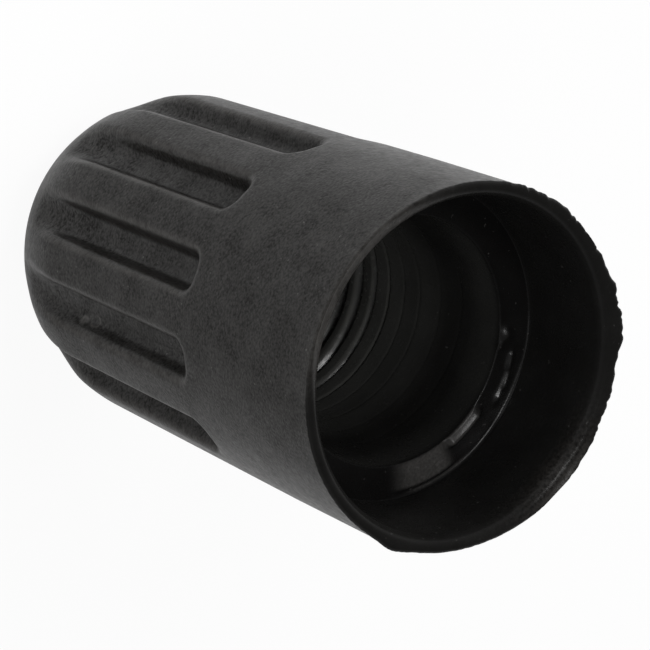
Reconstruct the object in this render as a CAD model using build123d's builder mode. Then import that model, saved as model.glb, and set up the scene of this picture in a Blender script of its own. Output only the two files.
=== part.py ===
"""Tyre valve cap, moulded in one piece: a tapered body with finger flutes, a wide skirt and a blind bore.

The cap stands on its closed end. The origin is the centre of that flat foot, and +Z runs up the
axis and out of the open mouth. Sizes are in millimetres and angles in degrees, and each value
named a depth is measured down from the mouth plane.
"""
import os
from math import cos, hypot, radians, sin, tan

from build123d import *

# Outside of the body
cap_length = 18.9
mouth_radius = 5.8
rim_bevel = 0.06
skirt_length = 4.5
skirt_draft = 2.05
grip_draft = 2.57
end_radius = 6.45
end_turn = 41.5
foot_round = 0.9

# Finger flutes, which fade out on the rounded end
flute_count = 12
flute_start_depth = 7.35
flute_width = 0.84
flute_corner = 0.3
flute_wall_draft = 20.0
flute_edge_bevel = 0.25
flute_depth = 0.713
floor_draft = 1.7

# Inside, from the mouth down to the blind end
rim_chamfer = 0.3
skirt_wall = 0.52
skirt_bore_draft = 4.0
shoulder_depth = 3.55
lead_bore_radius = 3.95
lead_bore_length = 1.9
thread_bore_radius = 3.45
bore_corner = 0.4
end_wall = 1.8

# Body lines: the skirt, then the grip, whose cone is carried down to the foot's level
skirt_end_z = cap_length - skirt_length
skirt_end_radius = mouth_radius - skirt_length * tan(radians(skirt_draft))
grip_slope = tan(radians(grip_draft))
grip_foot_radius = skirt_end_radius - skirt_end_z * grip_slope

# Upper end of the closed end's large arc, where the grip's cone runs into it
end_arc_drop = end_radius * (sin(radians(end_turn)) - sin(radians(grip_draft)))
foot_arc_drop = foot_round * (1 - sin(radians(end_turn)))
grip_end_z = end_arc_drop + foot_arc_drop
grip_end = (grip_foot_radius + grip_end_z * grip_slope, grip_end_z)
grip_direction = (-sin(radians(grip_draft)), -cos(radians(grip_draft)))

# Flute floors, at the flutes' upper ends, at the foot's level and just above the upper ends
flute_top_z = cap_length - flute_start_depth
floor_radius = grip_foot_radius + flute_top_z * grip_slope - flute_depth
floor_slope = tan(radians(floor_draft))
floor_foot_radius = floor_radius - flute_top_z * floor_slope
floor_top_z = flute_top_z + flute_edge_bevel
floor_top_radius = floor_radius + flute_edge_bevel * floor_slope

# One flute's hollow, square to its floor and cut from a root below it, with drafted walls
flute_root_drop = flute_depth / 4
root_inset = flute_root_drop * tan(radians(flute_wall_draft))
flute_root_width = flute_width - 2 * root_inset
flute_root_corner = min(flute_corner, 0.45 * flute_width) - root_inset
floor_normal = (cos(radians(floor_draft)), 0, -sin(radians(floor_draft)))
floor_plane = Plane((floor_radius, 0, flute_top_z), x_dir=(0, 1, 0), z_dir=floor_normal)

with BuildPart() as flute:
    with BuildSketch(floor_plane.offset(-flute_root_drop)) as flute_outline:
        with Locations((0, -root_inset)):
            Rectangle(flute_root_width, cap_length, align=(Align.CENTER, Align.MAX))
        fillet(flute_outline.vertices().group_by(Axis.Y)[-1], radius=flute_root_corner)
    extrude(amount=3 * flute_depth, taper=-flute_wall_draft)

# Edges that lie wholly outside this radius are on the lands between the flutes
land_limit = (floor_radius + grip_foot_radius) / 2

# Inside lines, one below another
skirt_bore_radius = mouth_radius - skirt_wall
shoulder_radius = skirt_bore_radius - (shoulder_depth - rim_chamfer) * tan(radians(skirt_bore_draft))
lead_bore_end = shoulder_depth + lead_bore_length
thread_start_depth = lead_bore_end + lead_bore_radius - thread_bore_radius

with BuildPart() as valve_cap:
    # Solid body, still square at its closed end
    with BuildSketch(Plane.XZ):
        with BuildLine():
            Polyline(
                (0, 0),
                (grip_foot_radius, 0),
                (skirt_end_radius, skirt_end_z),
                (mouth_radius, cap_length),
                (0, cap_length),
                close=True,
            )
        make_face()
    revolve(axis=Axis.Z)
    chamfer(valve_cap.faces().sort_by(Axis.Z)[-1].edges(), length=rim_bevel)
    # Flutes with bevelled edges, then their floors
    with PolarLocations(0, flute_count):
        add(flute.part, mode=Mode.SUBTRACT)
    land_edges = valve_cap.edges(Select.NEW).filter_by(
        lambda edge: all(hypot(end.X, end.Y) > land_limit for end in edge.vertices())
    )
    chamfer(land_edges, length=flute_edge_bevel)
    with BuildSketch(Plane.XZ):
        with BuildLine():
            Polyline(
                (0, 0),
                (floor_foot_radius, 0),
                (floor_top_radius, floor_top_z),
                (0, floor_top_z),
                close=True,
            )
        make_face()
    revolve(axis=Axis.Z)
    # Rounded closed end, on which the flutes run out, turning into the flat foot
    with BuildSketch(Plane.XZ):
        with BuildLine():
            end_arc = JernArc(grip_end, grip_direction, end_radius, grip_draft - end_turn)
            foot_arc = JernArc(end_arc @ 1, end_arc % 1, foot_round, end_turn - 90)
            Polyline(foot_arc @ 1, (mouth_radius, 0), (mouth_radius, grip_end_z), grip_end)
        make_face()
    revolve(axis=Axis.Z, mode=Mode.SUBTRACT)
    # Inside: rim chamfer, skirt, shoulder, lead-in and the blind bore that takes the thread
    with BuildSketch(Plane.XZ):
        with BuildLine():
            Polyline(
                (0, cap_length),
                (skirt_bore_radius + rim_chamfer, cap_length),
                (skirt_bore_radius, cap_length - rim_chamfer),
                (shoulder_radius, cap_length - shoulder_depth),
                (lead_bore_radius, cap_length - shoulder_depth),
                (lead_bore_radius, cap_length - lead_bore_end),
                (thread_bore_radius, cap_length - thread_start_depth),
                (thread_bore_radius, end_wall + bore_corner),
                (thread_bore_radius - bore_corner, end_wall),
                (0, end_wall),
                close=True,
            )
        make_face()
    revolve(axis=Axis.Z, mode=Mode.SUBTRACT)

valve_cap.part.label = "valve_cap"

os.makedirs("parts", exist_ok=True)
export_step(valve_cap.part, "parts/valve_cap.step")
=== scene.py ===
"""Looks of a tyre valve cap: one moulded surface in satin black plastic, standing on its closed end.

Lengths are in millimetres until a mesh, lamp or camera is made, and each value named a depth is
measured down from the mouth plane.
"""

import bpy
import numpy as np
from mathutils import Matrix, Vector


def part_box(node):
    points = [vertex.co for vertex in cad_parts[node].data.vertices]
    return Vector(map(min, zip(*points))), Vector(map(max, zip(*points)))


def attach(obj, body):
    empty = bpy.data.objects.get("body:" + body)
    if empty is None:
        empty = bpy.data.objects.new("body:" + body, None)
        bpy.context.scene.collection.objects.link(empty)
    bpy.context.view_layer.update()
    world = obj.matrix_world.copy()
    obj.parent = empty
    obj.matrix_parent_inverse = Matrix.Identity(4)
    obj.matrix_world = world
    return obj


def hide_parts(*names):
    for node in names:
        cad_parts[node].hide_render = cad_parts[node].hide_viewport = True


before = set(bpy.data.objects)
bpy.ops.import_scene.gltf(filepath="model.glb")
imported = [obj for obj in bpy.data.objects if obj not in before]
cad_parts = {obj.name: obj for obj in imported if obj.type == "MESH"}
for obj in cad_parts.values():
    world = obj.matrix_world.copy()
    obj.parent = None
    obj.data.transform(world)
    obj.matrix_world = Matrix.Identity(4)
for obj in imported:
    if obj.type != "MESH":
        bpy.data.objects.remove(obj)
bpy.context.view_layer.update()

MM = 0.001

# Outside of the cap, as in the solid
box_low, box_high = (np.array(corner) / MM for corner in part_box("valve_cap"))
cap_length = box_high[2]
half_box = min(-box_low[0], -box_low[1], box_high[0], box_high[1])
mouth_radius = 5.8
skirt_length = 4.5
skirt_draft = np.radians(2.05)
grip_draft = np.radians(2.57)
end_radius = 6.45
end_turn = np.radians(41.5)
foot_round = 0.9

# Finger flutes
flute_count = 12
flute_start_depth = 7.35
flute_width = 0.84
flute_corner = 0.3
flute_wall_draft = np.radians(20.0)
flute_depth = 0.713
floor_draft = np.radians(1.7)
edge_round = 0.4
foot_fillet = 0.32
pocket_soft = 0.06
valley_inner = 0.08
valley_outer = 0.94
valley_start_z = 4.6
valley_full_z = 2.4
trough_depth = 0.34
trough_end_z = 0.9
trough_full_z = 3.4

# Inside, from the mouth down to the blind end
rim_chamfer = 0.3
rim_outer_round = 0.16
rim_inner_drop = 0.5
rim_wear_slope = 0.56
rim_edge_kept = 0.12
skirt_wall = 0.52
skirt_bore_draft = np.radians(4.0)
shoulder_depth = 3.55
lead_bore_radius = 3.95
lead_bore_length = 1.9
thread_bore_radius = 3.45
thread_pitch = 0.794
thread_groove = 0.45
thread_half_angle = np.pi / 6
thread_edge_soft = 0.05
thread_fade_start = 2.0
thread_fade_full = 5.2
upper_thread_z = 7.4
bore_corner = 0.4
end_wall = 1.8
shoulder_fillet = 0.16
pad_step = 0.015
ridge_height = 0.115
ridge_spread = 0.11
# Depths where the bore's paler dust and painted haze begin and become full
dust_and_haze_start_depth = 5.3
dust_and_haze_full_depth = 9.2

# Curls of rubbed plastic in one flute: each one's centre and radius
curl_width = 0.06
curl_marks = [
    ((4.20, -1.90, 5.80), 0.30),
    ((4.30, -1.62, 5.30), 0.42),
]

# The photograph's view: the camera's angle from the cap's axis, the image's turn, and the distance
view_angle = np.radians(39.737)
view_turn = np.radians(21.970)
view_azimuth = np.radians(-63.9)
view_distance = 250.0
pixels_per_mm = 33.12
image_side = 650.0
mouth_pixel = (464.8, 369.0)

# The floor, in metres, and how much of its own white shows to the camera and in reflections
floor_half = 1.5
floor_lines = 13
floor_white_seen = 0.93
floor_white_mirrored = 0.3

# Lines worked out from the sizes above
skirt_end_z = cap_length - skirt_length
skirt_end_radius = mouth_radius - skirt_length * np.tan(skirt_draft)
grip_foot_radius = skirt_end_radius - skirt_end_z * np.tan(grip_draft)
end_arc_drop = end_radius * (np.sin(end_turn) - np.sin(grip_draft))
grip_end_z = end_arc_drop + foot_round * (1 - np.sin(end_turn))
grip_end_radius = grip_foot_radius + grip_end_z * np.tan(grip_draft)
flute_top_z = cap_length - flute_start_depth
floor_top_radius = grip_foot_radius + flute_top_z * np.tan(grip_draft) - flute_depth
wall_slope = np.tan(flute_wall_draft)
skirt_bore_radius = mouth_radius - skirt_wall
shoulder_radius = skirt_bore_radius - (shoulder_depth - rim_chamfer) * np.tan(skirt_bore_draft)
lead_bore_end = shoulder_depth + lead_bore_length
thread_start_depth = lead_bore_end + lead_bore_radius - thread_bore_radius
far_side = view_azimuth + np.pi

# How far a rounded edge and a filleted foot reach to each side of a drafted wall
edge_reach = edge_round * (1 - np.sin(flute_wall_draft)) / np.cos(flute_wall_draft)
fillet_reach = foot_fillet * (1 - np.sin(flute_wall_draft)) / np.cos(flute_wall_draft)
wall_turn = np.pi / 2 - flute_wall_draft

# The skin's grid: the foot has no flutes within a radius, and the bore keeps one column in a few
fluted_from_radius = 4.2
bore_share = 6
ring_slack = 0.01


def smoothstep(low, high, value):
    """Rise from 0 at low to 1 at high as 3t^2 - 2t^3."""
    t = np.clip((value - low) / (high - low), 0.0, 1.0)
    return t * t * (3.0 - 2.0 * t)


def smooth_maximum(first, second, reach):
    """The larger of two heights, with the crease between them filled over about the given reach."""
    return (first + second + np.sqrt((first - second) ** 2 + reach**2)) / 2


def spaced(start, stop, count):
    """Count evenly spaced values from start, without stop itself."""
    return np.linspace(start, stop, count, endpoint=False)


def turn_from_far_side(angle):
    """Degrees from the side of the cap that is furthest from the camera, between -180 and 180."""
    return np.degrees(np.angle(np.exp(1j * (angle - far_side))))


def floor_radius(radius, z):
    """Radius of the flute floors at height z, under a body of the given radius.

    The floor is a cone that narrows towards the foot. On the rounded end, where the cone would come out
    of the body, the floor stays below it by a shallow trough that fades towards the foot.
    """
    cone = floor_top_radius - (flute_top_z - z) * np.tan(floor_draft)
    return np.minimum(cone, radius - trough_depth * smoothstep(trough_end_z, trough_full_z, z))


def outside_profile():
    """Radius and height of each ring from the foot up to the rim's edge.

    The rings follow the flat foot, the foot's small arc, the closed end's large arc, the grip's cone
    and the skirt's cone. They lie close together where the flutes end and at the rim.
    """
    end_arc_radius = grip_end_radius - end_radius * (np.cos(grip_draft) - np.cos(end_turn))
    foot_radius = end_arc_radius - foot_round * np.cos(end_turn)
    flat = foot_radius * np.array([0.45, 0.9])
    small_turn = spaced(np.pi / 2, end_turn, 8)
    small_radius = foot_radius + foot_round * np.cos(small_turn)
    small_z = foot_round * (1 - np.sin(small_turn))
    large_turn = spaced(end_turn, grip_draft, 24)
    large_radius = grip_end_radius - end_radius * (np.cos(grip_draft) - np.cos(large_turn))
    large_z = grip_end_z + end_radius * (np.sin(grip_draft) - np.sin(large_turn))
    wall_top_z = flute_top_z + flute_depth * wall_slope
    grip_z = np.concatenate([
        spaced(grip_end_z, flute_top_z - 0.4, 8),
        spaced(flute_top_z - 0.4, flute_top_z - fillet_reach, 6),
        flute_top_z - fillet_reach + foot_fillet * np.sin(spaced(0.0, wall_turn, 4)),
        spaced(flute_top_z - fillet_reach + foot_fillet * np.sin(wall_turn), wall_top_z - 0.1, 2),
        wall_top_z + edge_reach - edge_round * np.sin(spaced(wall_turn, 0.0, 7)),
        spaced(wall_top_z + edge_reach, skirt_end_z, 4),
    ])
    grip_radius = grip_foot_radius + grip_z * np.tan(grip_draft)
    skirt_depth = np.array([4.5, 3.0, 1.6, 0.9, 0.55, 0.4, 0.3, 0.22, 0.16])
    skirt_radius = mouth_radius - skirt_depth * np.tan(skirt_draft)
    radius = np.concatenate([flat, small_radius, large_radius, grip_radius, skirt_radius])
    z = np.concatenate([np.zeros(2), small_z, large_z, grip_z, cap_length - skirt_depth])
    return radius, z


def mouth_profile():
    """Radius and height of each ring from the rim's edge down to the start of the plain lead-in.

    The rings go over the rim, whose outer edge is a quarter circle and whose inner edge a quarter
    ellipse, then down the skirt's drafted bore and across the shoulder.
    """
    outer_turn = spaced(0.25, np.pi / 2, 7)
    outer_radius = mouth_radius - rim_outer_round * (1 - np.cos(outer_turn))
    outer_depth = rim_outer_round * (1 - np.sin(outer_turn))
    inner_turn = np.linspace(np.pi / 2, np.pi, 11)
    inner_width = skirt_wall - rim_outer_round
    inner_radius = mouth_radius - rim_outer_round + inner_width * np.cos(inner_turn)
    inner_depth = rim_inner_drop * (1 - np.sin(inner_turn))
    rim_radius = np.concatenate([outer_radius, inner_radius])
    rim_depth = np.concatenate([outer_depth, inner_depth])
    bore_depth = np.linspace(0.9, shoulder_depth - shoulder_fillet, 5)
    bore_radius = skirt_bore_radius - (bore_depth - rim_chamfer) * np.tan(skirt_bore_draft)
    corner_radius = spaced(shoulder_radius - 0.005, shoulder_radius - shoulder_fillet, 5)
    ring_radius = np.linspace(shoulder_radius - shoulder_fillet, lead_bore_radius + 0.02, 20)
    ring_depth = np.full(len(corner_radius) + len(ring_radius), shoulder_depth)
    radius = np.concatenate([rim_radius, bore_radius, corner_radius, ring_radius, [lead_bore_radius]])
    depth = np.concatenate([rim_depth, bore_depth, ring_depth, [shoulder_depth + 0.03]])
    return radius, cap_length - depth


def column_angles(radius, z):
    """Angle of each column from its flute's middle, for each ring from the closed end up to the rim.

    Half a flute's columns lie at fixed shares of its floor, of the fillet at the wall's foot, of the
    wall, of the rounded edge and of the land beside it, so they follow the flute as it narrows.
    """
    depth = np.maximum(radius - floor_radius(radius, z), 0.56)
    land_half = flute_width / 2 + depth * wall_slope
    fillet_start = np.full_like(radius, flute_width / 2 - fillet_reach)
    fillet_end = fillet_start + foot_fillet * np.sin(wall_turn)
    edge_end = land_half + edge_reach
    edge_start = edge_end - edge_round * np.sin(wall_turn)
    land_end = radius * np.sin(np.pi / flute_count)
    half = np.concatenate([
        fillet_start * spaced(0.0, 1.0, 10)[:, None],
        fillet_start + foot_fillet * np.sin(spaced(0.0, wall_turn, 4))[:, None],
        fillet_end + (edge_start - fillet_end) * spaced(0.0, 1.0, 2)[:, None],
        edge_end - edge_round * np.sin(spaced(wall_turn, 0.0, 7))[:, None],
        edge_end + (land_end - edge_end) * np.linspace(0.0, 1.0, 4)[:, None],
    ]).T
    across = np.concatenate([-half[:, :0:-1], half[:, :-1]], axis=1)
    return np.arcsin(across / radius[:, None])


def flute_height(radius, z, angle):
    """Height of the fluted body over the plane of the axis, square to each flute's middle line.

    Each flute is a pocket with drafted walls, whose outline is a rounded rectangle open at its lower
    end. The land falls away over its rounded edge and down the wall, as far as the floor, which rises
    to the wall in a fillet. Towards the closed end the pocket turns into a soft valley with no flat
    wall. The second result is the rub on the rounded edges, partly wear and partly a painted
    highlight, a Gaussian of the distance from the wall.
    """
    across = np.abs(radius * np.sin(angle))
    land = radius * np.cos(angle)
    corner_across = across - (flute_width / 2 - flute_corner)
    corner_up = z - (flute_top_z - flute_corner)
    within = np.minimum(np.maximum(corner_across, corner_up), 0.0)
    outline = within + np.hypot(np.maximum(corner_across, 0), np.maximum(corner_up, 0)) - flute_corner
    plain_floor = np.sqrt(np.maximum(floor_radius(radius, z)**2 - across**2, 0.0))
    off_wall = outline - (land - plain_floor) * wall_slope
    edge = np.clip(edge_reach - off_wall, 0.0, edge_round * np.cos(flute_wall_draft))
    fall = np.maximum(edge_round - np.sqrt(edge_round**2 - edge**2), -off_wall / wall_slope)
    fillet = np.clip(fillet_reach + outline, 0.0, foot_fillet * np.cos(flute_wall_draft))
    floor = plain_floor + foot_fillet - np.sqrt(foot_fillet**2 - fillet**2)
    pocket = smooth_maximum(land - fall, floor, pocket_soft)
    valley = plain_floor + (land - plain_floor) * smoothstep(valley_inner, valley_outer, across)
    soft = smoothstep(valley_start_z, valley_full_z, z)
    # Rub on the rounded edges: partly wear, partly a painted highlight along them
    rub_and_highlight = np.exp(-(((off_wall - 0.08) / 0.11) ** 2)) * (1 - 0.5 * soft)
    return np.minimum(land, pocket + (valley - pocket) * soft), rub_and_highlight


def rim_flash(angle):
    """How far the moulding flash stands out of the rim's edge.

    A sum of low bumps and narrow notches, each a Gaussian in angle from the far side, and of a row of
    small lobes with sharp notches between them, the size of a sine wave, larger on the torn half.
    """
    # Place, spread and rise of each bump, then place and fall of each notch
    bumps = [
        (-89.0, 6.0, 0.12),
        (-57.0, 17.0, -0.04),
        (15.0, 60.0, 0.05),
        (-5.0, 4.0, 0.05),
        (12.0, 8.0, 0.07),
        (26.5, 5.0, 0.22),
        (34.0, 4.0, 0.20),
        (43.0, 5.0, 0.16),
        (58.0, 10.0, 0.06),
        (76.0, 3.0, 0.05),
    ]
    notches = [
        (-8.0, 0.04),
        (-0.5, 0.06),
        (17.0, 0.04),
        (22.0, 0.06),
        (36.3, 0.10),
        (47.6, 0.08),
        (57.0, 0.06),
        (73.0, 0.06),
    ]
    turn = turn_from_far_side(angle)
    height = sum(rise * np.exp(-(((turn - place) / spread) ** 2)) for place, spread, rise in bumps)
    height = height - sum(fall * np.exp(-((turn - place) ** 2)) for place, fall in notches)
    uneven = 0.9 * np.sin(5 * angle + 0.4) + 0.6 * np.sin(17 * angle + 2.1)
    lobe = np.abs(np.sin(31 * angle + uneven))
    small_lobe = np.abs(np.sin(83 * angle - 2 * uneven))
    torn = smoothstep(-24.0, -8.0, turn) * smoothstep(108.0, 92.0, turn)
    return height + (0.01 + 0.042 * torn) * (lobe - 0.4) + (0.006 + 0.02 * torn) * (small_lobe - 0.6)


def rim_wear(angle):
    """Wear of the rim, from 0 to 1: a range of angles on the near side and a Gaussian on the far side."""
    near_turn = np.degrees(np.angle(np.exp(1j * (view_azimuth - angle))))
    near = smoothstep(-34.0, -6.0, near_turn) * smoothstep(70.0, 25.0, near_turn)
    far = np.exp(-(((turn_from_far_side(angle) + 20) / 20) ** 2))
    return near, far


def worn_rim_drop(reach, depth, angle):
    """How far the worn rim lies below the rounded one.

    On the near side it is a cone from the outer edge that falls off steeply at the bore. On the far
    side only a narrow bevel at the outer edge is worn, and the rest of the rim lies lower by its fall.
    """
    near, far = rim_wear(angle)
    inwards = np.maximum(mouth_radius - reach, 0.0)
    edge_depth = np.where(inwards < rim_outer_round, rim_edge_kept * depth, 0.0)
    cone = rim_wear_slope * inwards + edge_depth + 3.3 * np.maximum(inwards - skirt_wall + 0.1, 0.0)
    bevel = rim_wear_slope * np.minimum(inwards, rim_outer_round)
    bevel = bevel + np.where(inwards < rim_outer_round, edge_depth, depth)
    return near * (cone - depth) + far * (bevel - depth)


def threaded_radius(z, angle):
    """Radius of the bore below its plain lead-in, with a right-hand thread that climbs a pitch a turn.

    The bore narrows in a smooth step to the thread's crests. The groove is a V with 60 degrees between
    its flanks and slightly softened edges. It starts shallow below the lead-in and runs out above the
    bottom of the bore.
    """
    depth = cap_length - z
    wall = lead_bore_radius + (thread_bore_radius - lead_bore_radius) * smoothstep(
        lead_bore_end - 0.35, thread_start_depth + 1.3, depth)
    off_groove = np.abs((z / thread_pitch - angle / (2 * np.pi)) % 1.0 - 0.5) * thread_pitch
    below_start = depth - thread_start_depth
    start = smoothstep(thread_fade_start, thread_fade_full, below_start)
    finish = smoothstep(end_wall + bore_corner + 0.2, end_wall + bore_corner + 1.2, z)
    groove = thread_groove * start * finish - off_groove / np.tan(thread_half_angle)
    return wall + smooth_maximum(groove, 0.0, thread_edge_soft)


def shoulder_rise(radius, angle):
    """Height of the uneven moulding on the shoulder: a corner fillet, pads, ridges and pips.

    The fillet is a quarter circle, and it fades out beside the pads. Each pad is a patch in angle and
    radius with soft edges, whose top rises outwards in a parabola. Each ridge is a Gaussian in radius,
    falls like a wedge along its range of angles and runs into the next. Each pip is a Gaussian in
    distance.
    """
    # First and last angle of each pad, its inner and outer radius, and its slope and curve
    pads = [
        (-61.0, -36.5, 3.95, 4.80, 0.06, 0.0),
        (-34.0, -14.5, 3.90, 4.26, 0.34, 0.4),
    ]
    # First and last angle of each ridge, and its radius
    ridges = [
        (-7.0, -1.5, 4.61),
        (-1.0, 6.0, 4.64),
        (6.5, 13.0, 4.57),
    ]
    # Angle and radius of each pip, its height and its spread
    pips = [(20.0, 4.24, 0.15, 0.21), (15.5, 4.06, 0.09, 0.14)]
    turn = turn_from_far_side(angle)
    into_corner = np.clip(radius - shoulder_radius + shoulder_fillet, 0.0, shoulder_fillet)
    filled = smoothstep(-70.0, -50.0, turn) * smoothstep(20.0, -8.0, turn)
    rise = filled * (shoulder_fillet - np.sqrt(shoulder_fillet**2 - into_corner**2))
    for first, last, inner, outer, slope, curve in pads:
        in_turn = smoothstep(first - 2.0, first + 2.0, turn) * smoothstep(last + 2.0, last - 2.0, turn)
        in_ring = smoothstep(inner - 0.05, inner + 0.03, radius)
        in_ring = in_ring * smoothstep(outer + 0.09, outer - 0.03, radius)
        outwards = np.clip(radius - inner, 0, 1)
        rise = rise + (pad_step + slope * outwards + curve * outwards**2) * in_turn * in_ring
    for first, last, place in ridges:
        in_turn = smoothstep(first - 1.5, first + 1.0, turn) * smoothstep(last + 1.5, last - 1.0, turn)
        wedge = in_turn * (0.6 + 0.4 * np.clip((last - turn) / (last - first), 0, 1))
        rise = rise + ridge_height * wedge * np.exp(-(((radius - place) / ridge_spread) ** 2))
    for place, reach, height, spread in pips:
        away = np.hypot(np.radians(turn - place) * reach, radius - reach)
        rise = rise + height * np.exp(-((away / spread) ** 2))
    return rise


def shoulder_scuffs_and_highlights(radius, angle):
    """Paler places on the shoulder, from 0 to 1, as patches in angle and radius: partly scuffs, partly a
    painted highlight on the pads.
    """
    turn = turn_from_far_side(angle)
    wide = smoothstep(-67.0, -54.0, turn) * smoothstep(-33.0, -40.0, turn)
    wide = wide * smoothstep(3.9, 4.05, radius) * smoothstep(4.88, 4.7, radius)
    thin = smoothstep(-40.0, -33.0, turn) * smoothstep(-12.0, -18.0, turn)
    thin = thin * smoothstep(4.3, 4.18, radius)
    line = np.exp(-(((radius - 4.94) / 0.035) ** 2)) * smoothstep(-60.0, -52.0, turn)
    line = line * smoothstep(-26.0, -34.0, turn)
    return np.maximum(np.maximum(wide, 0.7 * thin), 0.6 * line)


def shoulder_polish(angle):
    """Gloss of the shoulder's ridges and pips, 1 over their range of angles and 0 away from it."""
    turn = turn_from_far_side(angle)
    return smoothstep(-14.0, -8.0, turn) * smoothstep(30.0, 24.0, turn)


def band(first, rings, columns):
    """Quads between neighbouring rings of the same number of columns, from the vertex number first."""
    ring = first + columns * np.arange(rings - 1)[:, None]
    here = np.arange(columns)[None, :]
    after = np.roll(here, -1, axis=1)
    above = ring + columns
    return np.stack([ring + here, ring + after, above + after, above + here], axis=-1).reshape(-1, 4)


def step_down(first, columns, share):
    """Triangles between a ring and the next one, which keeps one column in share of its columns."""
    cells = np.arange(columns // share)
    near = first + columns + cells
    far = first + columns + np.roll(cells, -1)
    fine = first + (cells[:, None] * share + np.arange(share + 1)[None, :]) % columns
    half = share // 2
    to_near = [np.stack([fine[:, n], fine[:, n + 1], near], axis=-1) for n in range(half)]
    to_far = [np.stack([fine[:, n], fine[:, n + 1], far], axis=-1) for n in range(half, share)]
    return np.concatenate(to_near + to_far + [np.stack([fine[:, half], far, near], axis=-1)])


def fluted_rings():
    """The rings from the foot to the lead-in: reach, angle, height, how far each point is sunk, and the
    rub with its painted highlight.

    The columns of one flute are worked out and repeated round the cap. A point's angle and reach come
    from its height over the plane of the axis and its place across the flute. The last result tells
    the rings outside the rim's edge from the others.
    """
    radius, z = outside_profile()
    outside_rings = len(radius)
    fluted = radius > fluted_from_radius
    angle = np.zeros((outside_rings, column_angles(radius[-1:], z[-1:]).size))
    angle[fluted] = column_angles(radius[fluted], z[fluted])
    angle[~fluted] = angle[fluted][0]
    along = radius[:, None] * np.cos(angle)
    rub_and_highlight = np.zeros_like(along)
    grip = (radius[fluted][:, None], z[fluted][:, None], angle[fluted])
    along[fluted], rub_and_highlight[fluted] = flute_height(*grip)
    across = radius[:, None] * np.sin(angle)
    sunk = radius[:, None] - np.hypot(along, across)

    mouth_radii, mouth_z = mouth_profile()
    along = np.concatenate([along, mouth_radii[:, None] * np.cos(angle[-1])])
    across = np.concatenate([across, mouth_radii[:, None] * np.sin(angle[-1])])
    plain = np.zeros((len(mouth_radii), sunk.shape[1]))
    z = np.concatenate([z, mouth_z])
    rings = len(z)

    turn = (2 * np.pi / flute_count) * np.arange(flute_count)[None, :, None]
    angle = (np.arctan2(across, along)[:, None, :] + turn).reshape(rings, -1)
    reach = np.tile(np.hypot(along, across), flute_count)
    sunk = np.tile(np.concatenate([sunk, plain]), flute_count)
    rub_and_highlight = np.tile(np.concatenate([rub_and_highlight, plain]), flute_count)
    height = np.repeat(z[:, None], angle.shape[1], axis=1)
    outside = (np.arange(rings) < outside_rings)[:, None]
    return reach, angle, height, sunk, rub_and_highlight, outside


def bore_rings(angles):
    """The bore's rings from the lead-in down to its flat bottom: reach, angle and height."""
    lead_z = cap_length - shoulder_depth - np.array([0.3, 0.7, 1.2])
    upper_z = spaced(cap_length - lead_bore_end + 0.35, upper_thread_z, 176)
    lower_z = np.linspace(upper_thread_z, end_wall + bore_corner, 36)
    height, angle = np.meshgrid(np.concatenate([lead_z, upper_z, lower_z]), angles, indexing="ij")
    bottom = np.array([1.0, 0.6, 0.25]) * (thread_bore_radius - bore_corner)
    bottom_reach, bottom_angle = np.meshgrid(bottom, angles, indexing="ij")
    reach = np.concatenate([threaded_radius(height, angle), bottom_reach])
    angle = np.concatenate([angle, bottom_angle])
    height = np.concatenate([height, np.full_like(bottom_reach, end_wall)])
    return reach, angle, height


def skin_faces(rings, columns, bore_count):
    """Faces of the skin: the fine rings, the step to the bore, the bore, and a fan round each centre."""
    bore_columns = columns // bore_share
    bore_first = rings * columns
    foot_centre = bore_first + bore_count * bore_columns
    bottom_centre = foot_centre + 1
    foot_ring = np.arange(columns)
    bottom_ring = foot_centre - bore_columns + np.arange(bore_columns)
    quads = np.concatenate([band(0, rings, columns), band(bore_first, bore_count, bore_columns)])
    triangles = np.concatenate([
        step_down(bore_first - columns, columns, bore_share),
        np.stack([np.full(columns, foot_centre), np.roll(foot_ring, -1), foot_ring], axis=-1),
        np.stack([bottom_ring, np.roll(bottom_ring, -1), np.full(bore_columns, bottom_centre)], axis=-1),
    ])
    return quads.tolist() + triangles.tolist()


def over_skin(fine, bore, bottom=0.0):
    """One value per vertex, from those on the fine rings, in the bore and at the two centres."""
    return np.concatenate([fine.ravel(), bore.ravel(), [0.0, bottom]])


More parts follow.
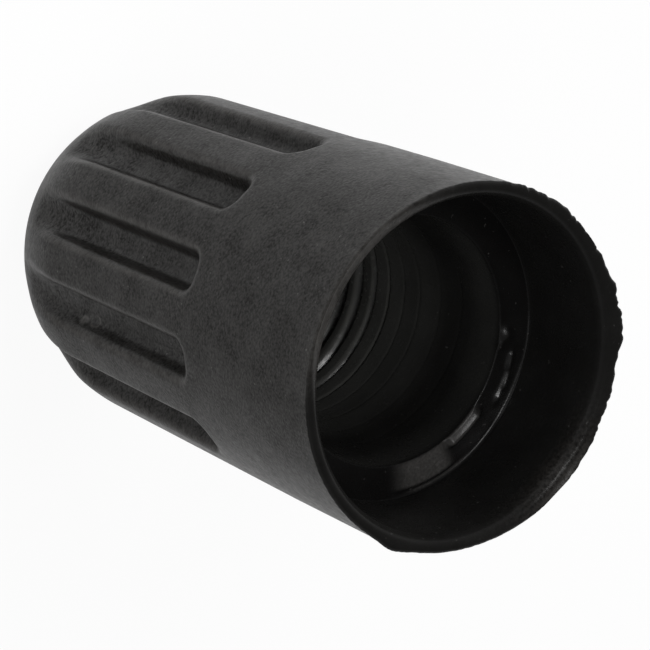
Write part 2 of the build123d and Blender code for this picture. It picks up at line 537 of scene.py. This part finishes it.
def cap_skin():
    """The whole skin of the cap as one closed grid of rings: points, faces and finish values.

    The rings run from the foot's centre up the outside, over the rim, across the shoulder and down the
    threaded bore to the centre of its bottom. The bore keeps one column in six.
    """
    reach, angle, height, sunk, rub_and_highlight, outside = fluted_rings()
    depth = cap_length - height
    on_rim = np.where(outside, 1 - smoothstep(0.1, 0.45, depth), smoothstep(5.5, 5.72, reach))
    box_reach = half_box / np.maximum(np.abs(np.cos(angle)), np.abs(np.sin(angle)))
    over_rim = ~outside & (depth < rim_inner_drop + ring_slack)
    rim_edge = over_rim & (reach > mouth_radius - rim_outer_round - ring_slack)
    near, far = rim_wear(angle)
    # Painted highlight: the rub also lightens the worn rim's edges, partly as wear and partly as a
    # painted highlight
    rub_and_highlight = rub_and_highlight + near * np.where(outside, 0.5 * smoothstep(0.5, 0.1, depth), 0.8 * over_rim)
    rub_and_highlight = rub_and_highlight + far * np.where(rim_edge, 0.5, 0.0)
    height = height - np.where(over_rim, worn_rim_drop(reach, depth, angle), 0.0)
    reach = np.where(on_rim > 0, np.minimum(reach + on_rim * rim_flash(angle), box_reach), reach)
    on_shoulder = np.isclose(depth, shoulder_depth)
    height = height + np.where(on_shoulder, shoulder_rise(reach, angle), 0.0)

    bore_reach, bore_angle, bore_height = bore_rings(angle[-1, ::bore_share])
    grids = [(reach, angle, height), (bore_reach, bore_angle, bore_height)]
    points = [np.stack([r * np.cos(a), r * np.sin(a), h], axis=-1).reshape(-1, 3) for r, a, h in grids]
    points = np.concatenate(points + [np.array([[0.0, 0.0, 0.0], [0.0, 0.0, end_wall]])])
    faces = skin_faces(*reach.shape, len(bore_reach))

    unworn = 1 - np.maximum(near, far)
    flute = np.clip(sunk / 0.35, 0, 1) * (0.3 + 0.7 * smoothstep(9.0, 4.0, height))
    # Scuffs and painted highlight on the shoulder's pads
    scuff_and_highlight = np.where(on_shoulder, shoulder_scuffs_and_highlights(reach, angle), 0.0)
    # Painted haze: a faint paler film on the inner walls, and paler dust deeper down that is partly a
    # painted haze of light
    painted_haze_film = np.where(outside | on_shoulder, 0.0, 0.054)
    bore_depth = cap_length - bore_height
    dust_and_haze = smoothstep(dust_and_haze_start_depth, dust_and_haze_full_depth, bore_depth)
    dust_and_haze = np.maximum(dust_and_haze, 0.08 + 0.2 * smoothstep(5.6, 4.2, bore_depth))
    none = np.zeros_like(bore_reach)
    finish = {
        "inside": over_skin(np.where(over_rim, unworn, 1.0) * ~outside, none + 1.0, 1.0),
        "flute": over_skin(flute, none),
        "edge_rub_and_highlight": over_skin(rub_and_highlight, none),
        "scuff_and_highlight": over_skin(scuff_and_highlight, none),
        "dust_and_haze": over_skin(painted_haze_film, dust_and_haze, 1.0),
        "torn": over_skin(over_rim * unworn, none),
        "polish": over_skin(on_shoulder * shoulder_polish(angle), smoothstep(8.0, 9.6, bore_depth), 1.0),
    }
    return points, faces, finish


def make_cap(plastic):
    """The cap's mesh from its skin, smooth shaded, with its finish values on its vertices."""
    points, faces, finish = cap_skin()
    mesh = bpy.data.meshes.new("cap_skin")
    mesh.from_pydata(points * MM, [], faces)
    mesh.polygons.foreach_set("use_smooth", np.ones(len(mesh.polygons), dtype=bool))
    for name, values in finish.items():
        mesh.attributes.new(name, "FLOAT", "POINT").data.foreach_set("value", values)
    mesh.materials.append(plastic)
    mesh.update()
    cap = bpy.data.objects.new("cap_skin", mesh)
    bpy.context.collection.objects.link(cap)
    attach(cap, "root")
    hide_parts("valve_cap")


def add_node(tree, kind, links=(), **inputs):
    """A shader node with its constant inputs set and its linked inputs joined."""
    node = tree.nodes.new(kind)
    for name, value in inputs.items():
        node.inputs[name.replace("_", " ")].default_value = value
    for name, socket in links:
        tree.links.new(socket, node.inputs[name])
    return node


def noise(tree, place, scale, detail):
    """Value of a noise with the given scale per metre."""
    node = add_node(tree, "ShaderNodeTexNoise", [("Vector", place)], Scale=scale, Detail=detail)
    return node.outputs["Fac"]


def ramp(tree, value, low, high, to_low, to_high):
    """Value carried from the range low to high onto the range to_low to to_high, held at both ends."""
    node = tree.nodes.new("ShaderNodeMapRange")
    limits = {"From Min": low, "From Max": high, "To Min": to_low, "To Max": to_high}
    for name, number in limits.items():
        node.inputs[name].default_value = number
    tree.links.new(value, node.inputs["Value"])
    return node.outputs["Result"]


def maths(tree, operation, first, second):
    """Two values joined by one operation; either may be a number."""
    node = tree.nodes.new("ShaderNodeMath")
    node.operation = operation
    for socket, value in zip(node.inputs, (first, second)):
        if isinstance(value, (int, float)):
            socket.default_value = value
        else:
            tree.links.new(value, socket)
    return node.outputs["Value"]


def attribute(tree, name):
    """A finish value that the mesh carries on its vertices."""
    node = tree.nodes.new("ShaderNodeAttribute")
    node.attribute_name = name
    return node.outputs["Fac"]


def blend(tree, share, first, second):
    """Two numbers or values mixed by a share from 0 to 1."""
    node = tree.nodes.new("ShaderNodeMix")
    tree.links.new(share, node.inputs[0])
    for socket, value in zip((node.inputs[2], node.inputs[3]), (first, second)):
        if isinstance(value, (int, float)):
            socket.default_value = value
        else:
            tree.links.new(value, socket)
    return node.outputs[0]


def blend_colour(tree, share, first, second):
    """Two colours mixed by a share from 0 to 1."""
    node = tree.nodes.new("ShaderNodeMix")
    node.data_type = "RGBA"
    tree.links.new(share, node.inputs[0])
    for socket, value in zip((node.inputs[6], node.inputs[7]), (first, second)):
        if isinstance(value, tuple):
            socket.default_value = value
        else:
            tree.links.new(value, socket)
    return node.outputs[2]


def curl_mark(tree, place, uneven, centre, radius):
    """A thin ring round a point, from 0 to 1, which peaks at an uneven distance from it."""
    away = tree.nodes.new("ShaderNodeVectorMath")
    away.operation = "DISTANCE"
    tree.links.new(place, away.inputs[0])
    away.inputs[1].default_value = [length * MM for length in centre]
    off = maths(tree, "ADD", away.outputs["Value"], ramp(tree, uneven, 0.3, 0.7, -0.08 * MM, 0.08 * MM))
    outer = ramp(tree, off, radius * MM, (radius + curl_width) * MM, 1.0, 0.0)
    inner = ramp(tree, off, (radius - curl_width) * MM, radius * MM, 0.0, 1.0)
    return maths(tree, "MULTIPLY", outer, inner)


def satin_black_plastic():
    """Black plastic with a fine moulded grain outside, rubbed edges partly painted as highlights, paler
    shoulder scuffs partly painted as highlights, and a smoother inside whose dust is partly a painted
    haze.
    """
    material = bpy.data.materials.new("satin_black_plastic")
    material.use_nodes = True
    tree = material.node_tree
    shader = tree.nodes["Principled BSDF"]
    place = tree.nodes.new("ShaderNodeTexCoord").outputs["Object"]
    inside = attribute(tree, "inside")
    flute = attribute(tree, "flute")

    grain = noise(tree, place, 11000.0, 2.0)
    mottle = noise(tree, place, 4200.0, 3.0)
    cloud = noise(tree, place, 900.0, 3.0)
    speck = ramp(tree, noise(tree, place, 7000.0, 1.0), 0.75, 0.79, 0.0, 1.0)
    speck = maths(tree, "MULTIPLY", speck, ramp(tree, inside, 0.0, 1.0, 1.0, 0.45))

    fine = ramp(tree, grain, 0.3, 0.7, 0.0, 1.0)
    tone = ramp(tree, cloud, 0.3, 0.7, 0.0, 1.0)
    dark_black = blend_colour(tree, tone, (0.0040, 0.0037, 0.0034, 1.0), (0.0055, 0.0051, 0.0047, 1.0))
    pale_black = blend_colour(tree, tone, (0.0170, 0.0159, 0.0147, 1.0), (0.0210, 0.0196, 0.0182, 1.0))
    outer_black = blend_colour(tree, fine, dark_black, pale_black)
    # Painted highlight: rubbed edges get a paler colour, partly wear and partly a painted highlight
    rub_and_highlight = maths(tree, "MULTIPLY", attribute(tree, "edge_rub_and_highlight"), ramp(tree, mottle, 0.3, 0.7, 0.35, 1.0))
    outer_black = blend_colour(tree, rub_and_highlight, outer_black, (0.036, 0.0337, 0.0313, 1.0))
    inner_black = blend_colour(tree, tone, (0.0040, 0.0038, 0.0037, 1.0), (0.0055, 0.0053, 0.0052, 1.0))
    # Dust and painted haze: the inside turns paler with depth, partly dust and partly a painted haze
    dust_and_haze = maths(tree, "MULTIPLY", attribute(tree, "dust_and_haze"), ramp(tree, cloud, 0.3, 0.7, 0.8, 1.0))
    inner_black = blend_colour(tree, dust_and_haze, inner_black, (0.066, 0.066, 0.062, 1.0))
    black = blend_colour(tree, inside, outer_black, inner_black)
    # Scuffs and painted highlight: the shoulder's pads are painted paler, partly scuffs, partly highlight
    scuff_and_highlight = maths(tree, "MULTIPLY", attribute(tree, "scuff_and_highlight"), ramp(tree, grain, 0.35, 0.7, 0.55, 1.0))
    black = blend_colour(tree, scuff_and_highlight, black, (0.052, 0.050, 0.048, 1.0))
    black = blend_colour(tree, speck, black, (0.060, 0.058, 0.056, 1.0))
    for centre, radius in curl_marks:
        curl = curl_mark(tree, place, cloud, centre, radius)
        curl = maths(tree, "MULTIPLY", curl, ramp(tree, mottle, 0.35, 0.6, 0.0, 1.0))
        black = blend_colour(tree, curl, black, (0.060, 0.057, 0.054, 1.0))
    tree.links.new(black, shader.inputs["Base Color"])

    rough_outside = ramp(tree, mottle, 0.3, 0.7, 0.28, 0.42)
    rough_inside = ramp(tree, mottle, 0.3, 0.7, 0.2, 0.3)
    tree.links.new(blend(tree, inside, rough_outside, rough_inside), shader.inputs["Roughness"])

    mottle_height = maths(tree, "MULTIPLY", mottle, ramp(tree, flute, 0.0, 1.0, 0.25, 0.7))
    height = maths(tree, "ADD", mottle_height, maths(tree, "MULTIPLY", grain, 0.3))
    height = maths(tree, "MULTIPLY", height, ramp(tree, inside, 0.0, 1.0, 1.0, 0.25))
    bump = add_node(tree, "ShaderNodeBump", [("Height", height)], Strength=0.5, Distance=0.00006)
    tree.links.new(bump.outputs["Normal"], shader.inputs["Normal"])
    sheen = maths(tree, "MULTIPLY", mottle, 0.35)
    sheen = maths(tree, "ADD", sheen, maths(tree, "MULTIPLY", cloud, 0.4))
    sheen = maths(tree, "ADD", sheen, maths(tree, "MULTIPLY", grain, 0.45))
    sheen_land = ramp(tree, sheen, 0.45, 0.75, 0.08, 0.24)
    sheen_flute = ramp(tree, sheen, 0.48, 0.72, 0.05, 0.25)
    sheen_outside = blend(tree, flute, sheen_land, sheen_flute)
    sheen_inside = ramp(tree, attribute(tree, "torn"), 0.0, 1.0, 0.14, 0.05)
    polish = ramp(tree, attribute(tree, "polish"), 0.0, 1.0, 0.0, 0.36)
    sheen_inside = maths(tree, "ADD", sheen_inside, polish)
    gloss = blend(tree, inside, sheen_outside, sheen_inside)
    tree.links.new(gloss, shader.inputs["Specular IOR Level"])
    return material


def view_axes():
    """The camera's right, up and back directions at the mouth's centre, turned as the photograph is."""
    axis = np.array([0.0, 0.0, 1.0])
    side = np.array([np.cos(view_azimuth), np.sin(view_azimuth), 0.0])
    cross = np.cross(side, axis)
    back = np.cos(view_angle) * axis + np.sin(view_angle) * side
    along = np.sin(view_angle) * axis - np.cos(view_angle) * side
    right = np.cos(view_turn) * along + np.sin(view_turn) * cross
    up = -np.sin(view_turn) * along + np.cos(view_turn) * cross
    return right, up, back


def make_camera():
    """A long lens that sees the mouth's centre at its place in the photograph, with no lens shift."""
    right, up, back = view_axes()
    focal = pixels_per_mm * view_distance
    middle = np.array([image_side / 2 - mouth_pixel[0], mouth_pixel[1] - image_side / 2])
    aim = middle[0] * right + middle[1] * up - focal * back
    new_back = -aim / np.linalg.norm(aim)
    new_right = np.cross(up, new_back)
    new_right = new_right / np.linalg.norm(new_right)
    new_up = np.cross(new_back, new_right)
    data = bpy.data.cameras.new("view")
    data.sensor_width = 36.0
    data.lens = data.sensor_width * focal / image_side
    data.clip_start = 0.01
    data.clip_end = 20.0
    camera = bpy.data.objects.new("view", data)
    bpy.context.collection.objects.link(camera)
    place = (np.array([0.0, 0.0, cap_length]) + view_distance * back) * MM
    turned = Matrix(np.column_stack([new_right, new_up, new_back]).tolist()).to_4x4()
    camera.matrix_world = Matrix.Translation(Vector(place)) @ turned
    bpy.context.scene.camera = camera


def lamp_direction(towards_view, across_view, upward):
    """A direction given by its share towards the camera's side, across it and up the cap's axis."""
    side = np.array([np.cos(view_azimuth), np.sin(view_azimuth), 0.0])
    axis = np.array([0.0, 0.0, 1.0])
    return towards_view * side + across_view * np.cross(side, axis) + upward * axis


def soft_lamp(name, direction, distance, side, power, in_gloss=True):
    """A square softbox that looks at the cap's middle from the given direction."""
    data = bpy.data.lights.new(name, "AREA")
    data.shape = "SQUARE"
    data.size = side
    data.energy = power
    lamp = bpy.data.objects.new(name, data)
    bpy.context.collection.objects.link(lamp)
    unit = Vector(direction).normalized()
    lamp.location = unit * distance + Vector((0.0, 0.0, cap_length * MM / 2))
    lamp.rotation_euler = unit.to_track_quat("Z", "Y").to_euler()
    lamp.visible_glossy = in_gloss


def seen_share(tree, by_camera, by_gloss):
    """One share where a ray comes from the camera, another in a reflection, and zero in other light."""
    path = tree.nodes.new("ShaderNodeLightPath")
    camera = maths(tree, "MULTIPLY", path.outputs["Is Camera Ray"], by_camera)
    gloss = maths(tree, "MAXIMUM", path.outputs["Is Glossy Ray"], path.outputs["Is Transmission Ray"])
    return maths(tree, "ADD", camera, maths(tree, "MULTIPLY", gloss, by_gloss))


def make_surroundings():
    """A room with white walls and a dark ceiling, that lights the cap softly from the sides."""
    world = bpy.data.worlds.new("white_room")
    bpy.context.scene.world = world
    world.use_nodes = True
    tree = world.node_tree
    background = tree.nodes["Background"]
    direction = tree.nodes.new("ShaderNodeTexCoord").outputs["Generated"]
    upward = add_node(tree, "ShaderNodeSeparateXYZ", [("Vector", direction)]).outputs["Z"]
    tree.links.new(ramp(tree, upward, 0.15, 0.6, 1.0, 0.1), background.inputs["Color"])


def make_floor():
    """A pale floor under the foot, a wide square grid, mostly white of itself with a soft shadow.

    It is greyer towards one side, a painted shade, so that less light comes back up to the cap from
    there.
    """
    side = np.linspace(-floor_half, floor_half, floor_lines)
    across, along = np.meshgrid(side, side)
    points = np.stack([across, along, np.zeros_like(across)], axis=-1).reshape(-1, 3)
    row = np.arange(floor_lines - 1)
    corner = (row[:, None] * floor_lines + row[None, :]).ravel()
    faces = np.stack([corner, corner + 1, corner + floor_lines + 1, corner + floor_lines], axis=-1)
    mesh = bpy.data.meshes.new("floor")
    mesh.from_pydata(points, [], faces.tolist())
    material = bpy.data.materials.new("white_table")
    material.use_nodes = True
    tree = material.node_tree
    shader = tree.nodes["Principled BSDF"]
    place = tree.nodes.new("ShaderNodeTexCoord").outputs["Object"]
    fleck = noise(tree, place, 900.0, 2.0)
    tree.links.new(ramp(tree, fleck, 0.3, 0.7, 0.62, 0.72), shader.inputs["Roughness"])
    off_middle = tree.nodes.new("ShaderNodeVectorMath")
    off_middle.operation = "DOT_PRODUCT"
    tree.links.new(place, off_middle.inputs[0])
    off_middle.inputs[1].default_value = lamp_direction(0.0, 1.0, 0.0)
    # Painted shade: the floor's colour greys towards one side, standing in for shade there
    painted_shade_tone = ramp(tree, off_middle.outputs["Value"], -0.025, 0.005, 0.45, 0.86)
    tree.links.new(painted_shade_tone, shader.inputs["Base Color"])
    glow = add_node(tree, "ShaderNodeEmission", Strength=1.0)
    mixed = tree.nodes.new("ShaderNodeMixShader")
    tree.links.new(seen_share(tree, floor_white_seen, floor_white_mirrored), mixed.inputs["Fac"])
    tree.links.new(shader.outputs["BSDF"], mixed.inputs[1])
    tree.links.new(glow.outputs["Emission"], mixed.inputs[2])
    tree.links.new(mixed.outputs["Shader"], tree.nodes["Material Output"].inputs["Surface"])
    mesh.materials.append(material)
    floor = bpy.data.objects.new("floor", mesh)
    bpy.context.collection.objects.link(floor)


make_cap(satin_black_plastic())
make_camera()
make_surroundings()
make_floor()
soft_lamp("mouth_softbox", lamp_direction(0.26, 0.32, 0.9), 0.5, 0.125, 0.7)
soft_lamp("side_softbox", lamp_direction(-0.45, 0.8, 0.4), 0.6, 0.5, 3.3, in_gloss=False)
soft_lamp("front_softbox", lamp_direction(0.5, -0.4, 0.77), 0.6, 0.5, 1.8, in_gloss=False)

bpy.context.scene.view_settings.view_transform = "Standard"
